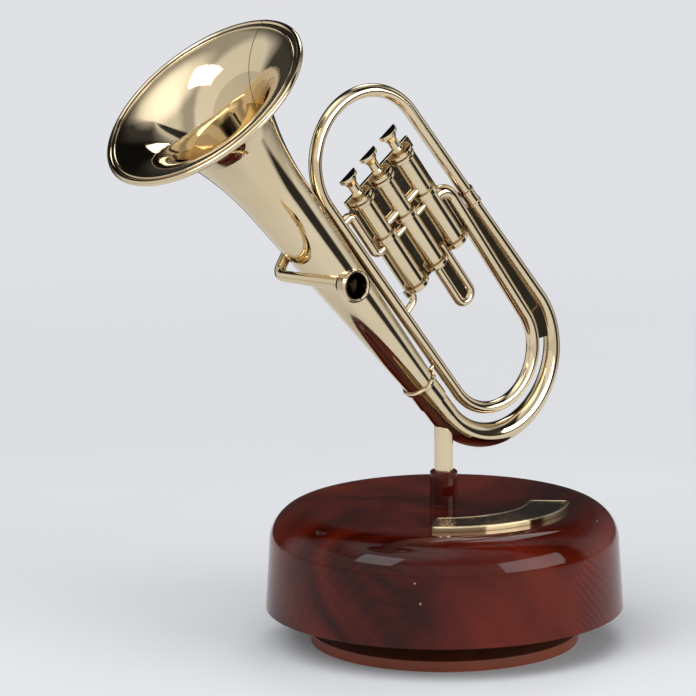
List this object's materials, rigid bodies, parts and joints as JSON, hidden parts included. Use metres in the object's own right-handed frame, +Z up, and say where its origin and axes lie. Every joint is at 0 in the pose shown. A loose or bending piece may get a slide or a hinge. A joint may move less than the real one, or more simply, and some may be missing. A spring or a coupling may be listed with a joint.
{
  "type": "clockwork music box",
  "caption": "Clockwork music box: a gold-plated model brass horn with valves stands on a post over a round turning housing on a fixed foot.",
  "frame": {"origin": "centre of the foot's underside, on the axis that the housing turns on", "axes": "+Z up, the horn lies in the XZ plane with its bell towards -X, the name plate is at the front, -Y"},
  "size_m": [0.161, 0.105, 0.1851],
  "materials": {
    "gold_plating": "champagne-gold mirror plating over moulded plastic",
    "housing_plastic": "high-gloss moulding with a dark mahogany burr pattern",
    "foot_plastic": "plain red-brown, semi-gloss",
    "black_plastic": "matt black moulding",
    "felt": "black felt",
    "steel": "plain steel",
    "cast_alloy": "painted casting",
    "movement_brass": "turned brass"
  },
  "bodies": {
    "foot": {"foot_disc": "foot_plastic", "foot_pad": "felt", "foot_screw": "steel", "spindle": "steel", "crown_wheel": "movement_brass"},
    "housing": {"housing": "housing_plastic", "bottom_cover": "black_plastic", "cover_screws": "steel", "name_plate": "gold_plating", "post_screw": "steel", "bedplate": "cast_alloy", "spring_barrel": "steel", "mainspring": "steel", "comb": "steel", "comb_screws": "steel", "drum_bracket": "steel", "governor_frame": "steel", "bell": "gold_plating", "branch_ring": "gold_plating", "branch_sleeve": "gold_plating", "outer_bow": "gold_plating", "outer_tube": "gold_plating", "outer_ferrule": "gold_plating", "upper_tube": "gold_plating", "top_loop": "gold_plating", "left_tube": "gold_plating", "inner_bow": "gold_plating", "inner_tube": "gold_plating", "valve_inlet": "gold_plating", "valve_links": "gold_plating", "first_slide": "gold_plating", "second_slide": "gold_plating", "outlet_elbow": "gold_plating", "mouthpiece": "gold_plating", "leadpipe": "gold_plating", "bow_brace": "gold_plating", "tube_web": "gold_plating", "valve_web": "gold_plating", "ring_brace": "gold_plating", "post": "gold_plating", "valve_casing_1": "gold_plating", "valve_base_1": "gold_plating", "valve_cap_1": "gold_plating", "valve_button_1": "gold_plating", "valve_casing_2": "gold_plating", "valve_base_2": "gold_plating", "valve_cap_2": "gold_plating", "valve_button_2": "gold_plating", "valve_casing_3": "gold_plating", "valve_base_3": "gold_plating", "valve_cap_3": "gold_plating", "valve_button_3": "gold_plating"},
    "drum": {"drum": "movement_brass", "drum_arbor": "steel", "drum_wheel": "movement_brass"},
    "governor": {"governor_wheel": "movement_brass"},
    "worm": {"worm": "steel", "fan": "black_plastic"}
  },
  "joints": [
    {"name": "turntable", "type": "hinge", "parent": "foot", "child": "housing", "pos_m": [0, 0, 0.0105], "axis": [0, 0, 1], "continuous": true},
    {"name": "drum_spin", "type": "hinge", "parent": "housing", "child": "drum", "pos_m": [0.0266, 0, 0.02765], "axis": [1, 0, 0], "continuous": true},
    {"name": "governor_spin", "type": "hinge", "parent": "housing", "child": "governor", "pos_m": [0.0398, 0.00802, 0.02356], "axis": [1, 0, 0], "continuous": true},
    {"name": "worm_spin", "type": "hinge", "parent": "housing", "child": "worm", "pos_m": [0.0407, 0.01347, 0.02356], "axis": [0, 0, 1], "continuous": true}
  ],
  "couplings": [
    {"joint": "drum_spin", "follows": "turntable", "ratio": -4},
    {"joint": "governor_spin", "follows": "turntable", "ratio": 16},
    {"joint": "worm_spin", "follows": "turntable", "ratio": -192}
  ]
}
